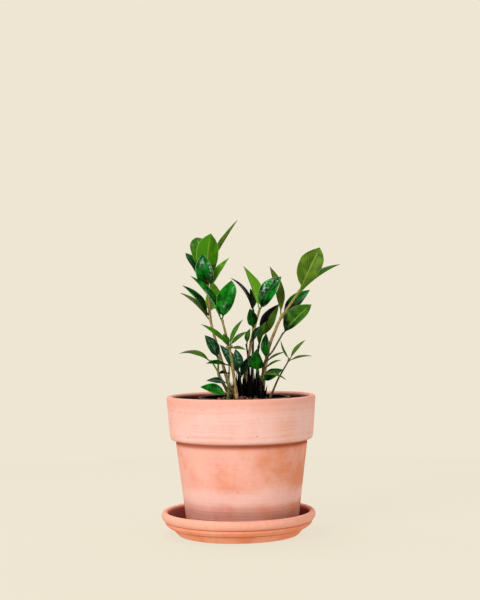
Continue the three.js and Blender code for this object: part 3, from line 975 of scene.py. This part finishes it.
def soilSkin(radius, middle):
    rings, around = soilSizes["rings"], soilSizes["around"]
    turns = [2 * math.pi * j / around for j in range(around)]
    vertices = [(middle.x, middle.y, soilLevel(0, 0, radius))]
    for reach in [radius * (i + 1) / rings for i in range(rings)]:
        for angle in turns:
            x, y = reach * math.cos(angle), reach * math.sin(angle)
            vertices.append((middle.x + x, middle.y + y, soilLevel(x, y, radius)))
    foot = radius * soilSizes["taper"]
    vertices += [(middle.x + foot * math.cos(angle), middle.y + foot * math.sin(angle), soilLow.z)
                 for angle in turns]
    vertices.append((middle.x, middle.y, soilLow.z))
    last = 1 + rings * around
    faces = [(0, 1 + j, 1 + (j + 1) % around) for j in range(around)]
    for row in range(1, last, around):
        for j in range(around):
            k = (j + 1) % around
            faces.append((row + j, row + around + j, row + around + k, row + k))
    faces += [(last + j, len(vertices) - 1, last + (j + 1) % around) for j in range(around)]
    return vertices, faces


def crumbBall():
    seed = bmesh.new()
    bmesh.ops.create_icosphere(seed, subdivisions=2, radius=1)
    points = [v.co.copy() for v in seed.verts]
    faces = [tuple(v.index for v in f.verts) for f in seed.faces]
    seed.free()
    return points, faces


def makeSoil():
    sizes = soilSizes
    rng = random.Random(5)
    radius = (soilHigh.x - soilLow.x) / 2
    middle = (soilLow + soilHigh) / 2
    vertices, faces = soilSkin(radius, middle)
    crumb = [0.0] * len(vertices)
    ball, ballFaces = crumbBall()
    for _ in range(sizes["crumbs"]):
        away = radius * 0.97 * math.sqrt(rng.random())
        angle = rng.uniform(0, 2 * math.pi)
        x, y = away * math.cos(angle), away * math.sin(angle)
        size = rng.uniform(*sizes["fineCrumb" if rng.random() < sizes["fineShare"] else "coarseCrumb"]) * mm
        stretch = Vector((rng.uniform(0.7, 1.5), rng.uniform(0.6, 1.1), rng.uniform(0.5, 0.9)))
        spin = rng.uniform(0, 6.28)
        pale = rng.choice([0.0, 0.35, 0.8, 1.0])
        base = len(vertices)
        level = soilLevel(x, y, radius) + size * 0.25
        for point in ball:
            lump = 1 + 0.35 * noise.noise(point * 1.7 + Vector((x, y, 0)) * 900)
            p = point * stretch * size * lump
            vertices.append((middle.x + x + p.x * math.cos(spin) - p.y * math.sin(spin),
                             middle.y + y + p.x * math.sin(spin) + p.y * math.cos(spin), level + p.z))
        crumb += [pale] * len(ball)
        faces += [tuple(base + v for v in face) for face in ballFaces]
    return addPiece("compost", vertices, faces, makeSoilFinish(), {"crumb": crumb})


settle(makeSaucer(), "saucer")
settle(makeClayPot(), "terracotta_pot")
settle(makeNurseryPot(), "nursery_pot")
settle(makeSoil(), "potting_soil")
print("pots and soil made")


# shoots: stems and leaves

stemShape = {
    "steps": 90, "sides": 18,
    "swell": 0.28, "swellReach": 1.6 * mm,      # the little swelling where a leaf leaves the stem
    "footSwell": 0.7, "footHeight": 14 * mm,
    "tipShare": 0.015,                          # the share of its length in which a stem closes to its tip
    "rough": 0.06, "lumps": 26,
}
stemLooks = {
    "tall_left": "tan", "inner_left": "tan", "low_left": "green", "outer_left": "green",
    "front_left": "green", "centre_front": "night", "centre_short": "night", "centre_tall": "tan",
    "centre_back": "night", "back_tall": "night", "tall_right": "tan", "thin_right": "brown",
    "low_right": "night",
}

# Tone and habit of each leaf, by shoot and number. A pair is one value for each half of the blade.
# shade is how much painted shade darkens the foot, the tip and one side. A list of pale patches gives where
# painted highlights lie, and how wide.
leafLooks = {
    "tall_left": [
        {"tone": "fresh", "peak": 0.58, "full": 0.7, "sharp": (2.4, 2.7), "halves": (1.14, 0.86),
         "sway": 0.03, "twist": 0, "shade": (0.2, 0, -0.34)},
        {"tone": "glossy", "peak": 0.54, "full": 0.6, "sharp": 2.7, "arch": 0.16, "twist": 0,
         "shade": (0.7, 0, 0), "glints": [(0.62, 0.7, 0.2, 0.16), (0.8, -0.2, 0.1, 0.25)]},
        {"tone": "moss", "peak": 0.6, "full": 0.6, "sharp": 2.6, "halves": 1.1, "twist": 0,
         "shade": (0.4, 0, 0)},
        {"tone": "deep", "peak": 0.66, "full": 0.7, "sharp": 2.2, "shade": (0.95, 0, 0)},
        {"tone": "olive", "sway": 0, "sharp": 1.5},
        {"tone": "lime", "sway": 0.02, "sharp": 1.5, "halves": 1.15},
        {"tone": "lime", "peak": 0.5, "full": 0.7, "halves": 1.15},
        {"tone": "deep", "shade": (0.9, 0, -0.6)},
        {"tone": "olive"}],
    "inner_left": [
        {"tone": "bright", "full": 0.75, "sharp": 1.5},
        {"tone": "bright", "peak": (0.62, 0.56), "full": 0.66, "sharp": (3, 1.6), "halves": (0.8, 1.2),
         "twist": 0, "shade": (0.3, 0, 0), "glints": [(0.84, 0.55, 0.1, 0.25), (0.3, -0.3, 0.12, 0.3)]}],
    "low_left": [
        {"tone": "teal", "full": 0.6, "sharp": 2, "glints": [(0.5, 0.2, 0.3, 0.5)]},
        {"tone": "teal", "full": 0.7, "glints": [(0.5, 0, 0.3, 0.5)]}],
    "outer_left": [{"tone": "olive"}],
    "front_left": [
        {"tone": "deep", "shade": (0.8, 0, 0)},
        {"tone": "night"},
        {"tone": "teal"},
        {"tone": "bright", "shade": (0.3, 0, 0)}],
    "centre_front": [
        {"tone": "teal", "glints": [(0.6, 0, 0.35, 0.6)]},
        {"tone": "teal", "glints": [(0.55, 0, 0.3, 0.6)]},
        {"tone": "night"}],
    "centre_short": [{"tone": "moss"}],
    "centre_tall": [
        {"tone": "lime", "peak": 0.42, "full": 0.75, "sharp": 1.3, "halves": 1.1},
        {"tone": "glossy", "peak": 0.57, "full": 0.6, "sharp": 2, "halves": (0.85, 1.15), "arch": 0.12,
         "twist": 0, "shade": (0.7, 0, 0), "glints": [(0.6, -0.6, 0.24, 0.28), (0.88, 0, 0.06, 0.25)]},
        {"tone": "deep", "sharp": 2, "shade": (0, 0, 0.6)},
        {"tone": "teal"}],
    "centre_back": [{"tone": "olive", "shade": (0.3, 0, -1.1)}, {"tone": "moss"}],
    "back_tall": [{"tone": "night"}, {"tone": "night"}],
    "tall_right": [
        {"tone": "broad", "peak": 0.6, "full": 0.62, "sharp": (2.6, 1.7), "halves": (0.93, 1.07),
         "ripple": 1.8, "twist": 0, "shade": (0, 0.25, 0)},
        {"tone": "fresh", "full": 0.7, "sharp": 1.4},
        {"tone": "deep", "shade": (1.2, 0, 0.2)},
        {"tone": "olive"}],
    "thin_right": [
        {"tone": "moss", "peak": (0.6, 0.45), "full": 0.66, "sharp": (2.2, 1.95), "halves": (0.76, 1.24),
         "twist": 0, "shade": (0.75, 0, -0.1)},
        {"tone": "deep"},
        {"tone": "olive"},
        {"tone": "moss"}],
    "low_right": [
        {"tone": "deep", "peak": 0.3, "full": 0.6, "sharp": 1.4, "shade": (0.3, 0, 0.3)},
        {"tone": "olive"},
        {"tone": "deep", "shade": (0.4, 0, 0.3)}],
}


def stemRings(line, radii, joints, seed):
    shape = stemShape
    fine, run = softLine(line, shape["steps"])
    share = run / run[-1]
    thickness = np.interp(share, np.linspace(0, 1, len(radii)), radii)
    for joint in joints:
        away = np.linalg.norm(fine - joint, axis=1)
        thickness = thickness * (1 + shape["swell"] * np.exp(-(away / shape["swellReach"]) ** 2))
    above = np.clip(fine[:, 2] - soilHigh.z, 0, None)
    thickness = thickness * (1 + shape["footSwell"] * np.exp(-above / shape["footHeight"]))
    thickness = thickness * (0.35 + 0.65 * np.sqrt(np.clip((1 - share) / shape["tipShare"], 0, 1)))
    angles = np.linspace(0, 2 * math.pi, shape["sides"], endpoint=False)
    normal = np.array([0.0, 1.0, 0.0])
    rings = []
    for i, point in enumerate(fine):
        tangent = unit(fine[min(i + 1, len(fine) - 1)] - fine[max(i - 1, 0)])
        normal = unit(normal - tangent * (normal @ tangent))
        sideways = np.cross(tangent, normal)
        ring = []
        for angle in angles:
            spot = Vector((math.cos(angle), math.sin(angle), share[i] * shape["lumps"])) * 1.2
            lump = noise.noise(spot + Vector((seed, 0, 0)))
            radius = thickness[i] * (1 + shape["rough"] * lump)
            ring.append(point + radius * (math.cos(angle) * sideways + math.sin(angle) * normal))
        rings.append(ring)
    return np.array(rings), np.repeat(share, shape["sides"])


def addStem(name, line, radii, joints, finish, seed):
    rings, along = stemRings(line, radii, joints, seed)
    vertices, faces = loft(rings)
    return addPiece(name, vertices, faces, stemMaterials[finish], {"along": list(along) + [0, 1]})


def addLeaf(name, leaf, root, look, seed):
    rings, fields = bladeRings(leaf, root, look, seed)
    vertices, faces = loft(rings)
    for values in fields.values():
        values += [values[0], values[-1]]
    return addPiece(name, vertices, faces, leafMaterials[look["tone"]], fields)


# papery scale leaves that wrap the foot of each shoot, coloured near black as painted shade for the dark
# mass between the shoots: how many, how high and how wide
huskCounts = {
    "inner_left": (4, 20, 5), "front_left": (2, 12, 5), "centre_front": (6, 34, 6),
    "centre_short": (5, 34, 6), "centre_tall": (5, 36, 6), "centre_back": (5, 36, 6),
    "back_tall": (4, 34, 6), "tall_right": (2, 20, 6), "thin_right": (4, 28, 6), "low_right": (2, 20, 6),
}
huskShape = {"sunk": 2 * mm, "clear": 2.2 * mm, "fold": math.radians(42), "arch": -0.03}
huskLook = {"tone": "husk", "peak": 0.3, "full": 0.5, "sharp": 1.2, "stalk": 1.4}


def addHusks(shoot, line, seed):
    count, height, width = huskCounts.get(shoot, (0, 0, 0))
    rng = random.Random(seed)
    husks = []
    for i in range(count):
        reach = height * rng.uniform(0.4, 1.1) * mm
        bottom = atHeight(line, soilHigh.z - huskShape["sunk"])
        top = atHeight(line, soilHigh.z + reach)
        way = 2 * math.pi * (i + rng.uniform(0.2, 0.8)) / count - math.pi / 2
        out = np.array([math.cos(way), math.sin(way), 0.0])
        foot = bottom + out * huskShape["clear"]
        tip = top + out * rng.uniform(2.0, 6.0) * mm
        along = unit(tip - foot)
        husk = {"foot": foot, "tip": tip, "upper": unit(-out + along * (out @ along)),
                "width": width * rng.uniform(0.8, 1.1) * mm, "fold": huskShape["fold"],
                "arch": huskShape["arch"]}
        root = foot - along * huskShape["sunk"]
        husks.append(addLeaf(f"husk_{shoot}_{i + 1}", husk, root, huskLook, seed * 10 + i))
    return husks


stalkGap = 1.5 * mm      # a leaf starts this far off the middle of its stem

for shootNumber, (shoot, looks) in enumerate(leafLooks.items()):
    line, radii = readStem("stem_" + shoot)
    fineLine = softLine(line, 300)[0]
    joints = []
    for number, look in enumerate(looks, 1):
        node = f"leaf_{shoot}_{number}"
        leaf = readLeaf(node, fineLine)
        root = nearestOn(fineLine, leaf["foot"] - stalkGap * unit(leaf["tip"] - leaf["foot"]))
        joints.append(root)
        blade = addLeaf(f"blade_{shoot}_{number}", leaf, root, look, 100 * shootNumber + number)
        settle(blade, node)
    stem = addStem("shoot_" + shoot, line, radii, joints, stemLooks[shoot], shootNumber * 3.7)
    for piece in [stem] + addHusks(shoot, fineLine, 40 + shootNumber):
        settle(piece, "stem_" + shoot)
print("shoots made")


# the two young sprouts: route and leaves in millimetres from the clay pot's axis

sprouts = {
    "sprout_left": {
        "route": [(-4, -15, 121), (-4, -15, 136), (-5, -15, 144), (-7, -16, 162), (-9, -17, 176),
                  (-11, -17, 190)],
        "radii": (1.5, 1.1), "stem": "tan",
        "leaves": [
            {"foot": 189, "tip": (14, -3, 26), "width": 8, "turn": -52, "tone": "moss"},
            {"foot": 189, "tip": (18, -11, 14), "width": 7, "turn": -50, "tone": "moss"},
            {"foot": 189, "tip": (-28, -3, 22), "width": 9, "turn": 56, "tone": "fresh"},
            {"foot": 188, "tip": (-12, -12, 12), "width": 7, "turn": 48, "tone": "fresh"},
            {"foot": 187, "tip": (16, -12, -2), "width": 6, "turn": -56, "tone": "olive"},
            {"foot": 188, "tip": (-6, 9, 13), "width": 7, "turn": 20, "tone": "moss"}]},
    "sprout_right": {
        "route": [(29, -14, 121), (29, -14, 136), (31, -15, 141), (37, -18, 155), (45, -22, 169),
                  (49, -24, 176)],
        "radii": (0.9, 0.7), "stem": "brown",
        "leaves": [
            {"foot": 175, "tip": (-8, 2, 19), "width": 5, "turn": 60, "arch": -0.12, "tone": "olive"},
            {"foot": 175, "tip": (16, -4, 19), "width": 6, "turn": -52, "tone": "olive"},
            {"foot": 174, "tip": (23, -2, 4), "width": 5, "turn": -66, "tone": "olive"}]},
}


# A leaf row as foot, tip and upper side. turn is how far the upper side is turned from facing the front.
def leafFromRow(row, line):
    foot = atHeight(line, row["foot"] * mm)
    chord = np.array(row["tip"], float) * mm
    along = unit(chord)
    front = np.array([0.0, -1.0, 0.0])
    upper = unit(front - along * (front @ along))
    turn = math.radians(row["turn"])
    upper = upper * math.cos(turn) + np.cross(along, upper) * math.sin(turn)
    leaf = {"foot": foot + along * stalkGap, "tip": foot + chord, "upper": upper,
            "width": row["width"] * mm, "fold": math.radians(20), "arch": row.get("arch", 0.06)}
    return leaf, foot


for number, (node, sprout) in enumerate(sprouts.items()):
    line = np.array(sprout["route"], float) * mm + np.array([clayMiddle.x, clayMiddle.y, 0])
    fineLine = softLine(line, 300)[0]
    placed = [leafFromRow(row, fineLine) for row in sprout["leaves"]]
    radii = np.array(sprout["radii"]) * mm
    stem = addStem(node + "_stem", line, radii, [root for _, root in placed], sprout["stem"], 50 + number)
    settle(stem, node)
    for i, (row, (leaf, root)) in enumerate(zip(sprout["leaves"], placed), 1):
        look = {"tone": row["tone"], "stalk": 0.7}
        settle(addLeaf(f"{node}_blade_{i}", leaf, root, look, 900 + 10 * number + i), node)
print("sprouts made")


# studio: pale floor, soft lights, camera

studio = {
    "paper": "#eee6d3",
    "floorRadius": 0.7,
    "ambient": 0.62,
    "gleam": 0.06,          # how brightly the room shows in glossy things
    "floorShade": 0.1,      # how much of the floor's colour comes from the light on it
    "floorGlow": 0.868,     # how much it has of its own
    "floorGleam": 0.3,      # and how much of that shows in glossy things
    "cameraDistance": 1.26,
    "cameraHeight": 0.2183,
    "aimHeight": 0.2347,
    "lens": 74.9,
    "roll": -0.8,
}
lights = {
    "key": {"place": (-1.2, -1.5, 1.0), "size": (0.8, 0.9), "power": 32, "colour": (1.0, 0.99, 0.97)},
    "fill": {"place": (1.7, -1.2, 0.7), "size": (1.0, 1.2), "power": 11},
    "top": {"place": (-0.3, 0.3, 1.6), "size": (0.8, 0.8), "power": 12},
    "back": {"place": (0.9, 1.6, 0.9), "size": (1.0, 1.0), "power": 8},
}
lightAim = Vector((0, 0, 0.16))


def makePaper():
    material, tree, shader = newMaterial("palePaper")
    shader.inputs["Roughness"].default_value = 1.0
    shader.inputs["Specular IOR Level"].default_value = 0.0
    paper = tint(studio["paper"])
    shaded = [c * studio["floorShade"] for c in paper[:3]] + [1]
    grain = addNode(tree, "ShaderNodeTexNoise", {"Scale": 3.0, "Detail": 2.0}).outputs[0]
    lit = blend(tree, remap(tree, grain, 0.3, 0.7, 0.0, 0.02), shaded, "#000000")
    tree.links.new(lit, shader.inputs["Base Color"])
    shader.inputs["Emission Color"].default_value = paper
    rays = addNode(tree, "ShaderNodeLightPath").outputs
    glow = remap(tree, rays["Is Glossy Ray"], 0.0, 1.0, studio["floorGlow"], studio["floorGleam"],
                 smooth=False)
    tree.links.new(glow, shader.inputs["Emission Strength"])
    return material


def makeStudio():
    bpy.ops.mesh.primitive_circle_add(vertices=96, radius=studio["floorRadius"], fill_type="NGON",
                                      location=(0, 0, 0))
    floor = bpy.context.object
    floor.name = "studio_floor"
    floor.data.materials.append(makePaper())
    world = bpy.data.worlds.new("studio")
    bpy.context.scene.world = world
    world.use_nodes = True
    tree = world.node_tree
    ground = tree.nodes["Background"]
    ground.inputs["Color"].default_value = tint(studio["paper"])
    rays = addNode(tree, "ShaderNodeLightPath").outputs
    dull = remap(tree, rays["Is Glossy Ray"], 0.0, 1.0, studio["ambient"], studio["gleam"], smooth=False)
    inputs = {"Factor": rays["Is Camera Ray"], 2: dull, 3: 1.0}
    shown = addNode(tree, "ShaderNodeMix", inputs, data_type="FLOAT")
    tree.links.new(shown.outputs[0], ground.inputs["Strength"])


def addLight(name, place, size, power, colour=(1, 1, 1)):
    light = bpy.data.lights.new(name, "AREA")
    light.shape = "RECTANGLE"
    light.size, light.size_y = size
    light.energy = power
    light.color = colour
    lamp = bpy.data.objects.new(name, light)
    lamp.location = place
    lamp.rotation_euler = (lightAim - Vector(place)).to_track_quat("-Z", "Y").to_euler()
    bpy.context.scene.collection.objects.link(lamp)


def addCamera():
    camera = bpy.data.objects.new("camera", bpy.data.cameras.new("camera"))
    place = Vector((clayMiddle.x + 0.4 * mm, -studio["cameraDistance"], studio["cameraHeight"]))
    aim = Vector((place.x, 0, studio["aimHeight"]))
    camera.location = place
    turn = (aim - place).to_track_quat("-Z", "Y").to_matrix()
    camera.rotation_euler = (turn @ Matrix.Rotation(math.radians(studio["roll"]), 3, "Z")).to_euler()
    camera.data.lens = studio["lens"]
    camera.data.sensor_width = 36
    bpy.context.scene.collection.objects.link(camera)
    bpy.context.scene.camera = camera


makeStudio()
for name, light in lights.items():
    addLight(name, **light)
addCamera()
bpy.context.scene.view_settings.view_transform = "Standard"
print("studio made")
